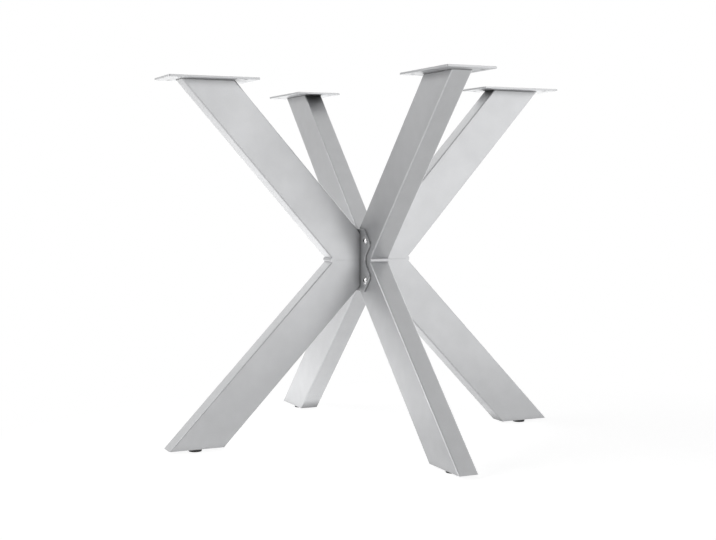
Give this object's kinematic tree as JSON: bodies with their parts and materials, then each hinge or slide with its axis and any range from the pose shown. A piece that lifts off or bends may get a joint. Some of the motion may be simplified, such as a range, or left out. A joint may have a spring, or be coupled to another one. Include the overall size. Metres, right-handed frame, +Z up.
{
  "type": "x shaped table leg",
  "caption": "Welded and bolted cross-shaped steel table base of rectangular tube, with screw plates on top and levelling feet below.",
  "frame": {"origin": "on the floor, under the middle of the base", "axes": "+Z up; X through the left and right half frames, Y through the front and back legs of the full cross, with the front leg at -Y"},
  "size_m": [0.854, 0.854, 0.72],
  "materials": {
    "coated_steel": "fine silver-grey metallic coat, satin",
    "plated_steel": "zinc plated, satin",
    "screw_steel": "bright stainless steel",
    "foot_plastic": "matt black moulded plastic"
  },
  "bodies": {
    "frame": {"right_upper_tube": "coated_steel", "right_lower_tube": "coated_steel", "right_top_plate": "coated_steel", "right_foot_plate": "coated_steel", "right_foot_nut": "plated_steel", "back_upper_tube": "coated_steel", "back_lower_tube": "coated_steel", "back_top_plate": "coated_steel", "back_foot_plate": "coated_steel", "back_foot_nut": "plated_steel", "left_upper_tube": "coated_steel", "left_lower_tube": "coated_steel", "left_top_plate": "coated_steel", "left_foot_plate": "coated_steel", "left_foot_nut": "plated_steel", "front_upper_tube": "coated_steel", "front_lower_tube": "coated_steel", "front_top_plate": "coated_steel", "front_foot_plate": "coated_steel", "front_foot_nut": "plated_steel", "left_flange": "coated_steel", "left_joint_screws": "screw_steel", "left_joint_nuts": "plated_steel", "right_flange": "coated_steel", "right_joint_screws": "screw_steel", "right_joint_nuts": "plated_steel"},
    "right_foot": {"right_foot_stud": "plated_steel", "right_foot_pad": "foot_plastic"},
    "back_foot": {"back_foot_stud": "plated_steel", "back_foot_pad": "foot_plastic"},
    "left_foot": {"left_foot_stud": "plated_steel", "left_foot_pad": "foot_plastic"},
    "front_foot": {"front_foot_stud": "plated_steel", "front_foot_pad": "foot_plastic"}
  },
  "joints": [
    {"name": "right_foot_travel", "type": "slide", "parent": "frame", "child": "right_foot", "axis": [0, 0, -1], "range_m": [0, 0.01]},
    {"name": "back_foot_travel", "type": "slide", "parent": "frame", "child": "back_foot", "axis": [0, 0, -1], "range_m": [0, 0.01]},
    {"name": "left_foot_travel", "type": "slide", "parent": "frame", "child": "left_foot", "axis": [0, 0, -1], "range_m": [0, 0.01]},
    {"name": "front_foot_travel", "type": "slide", "parent": "frame", "child": "front_foot", "axis": [0, 0, -1], "range_m": [0, 0.01]}
  ]
}
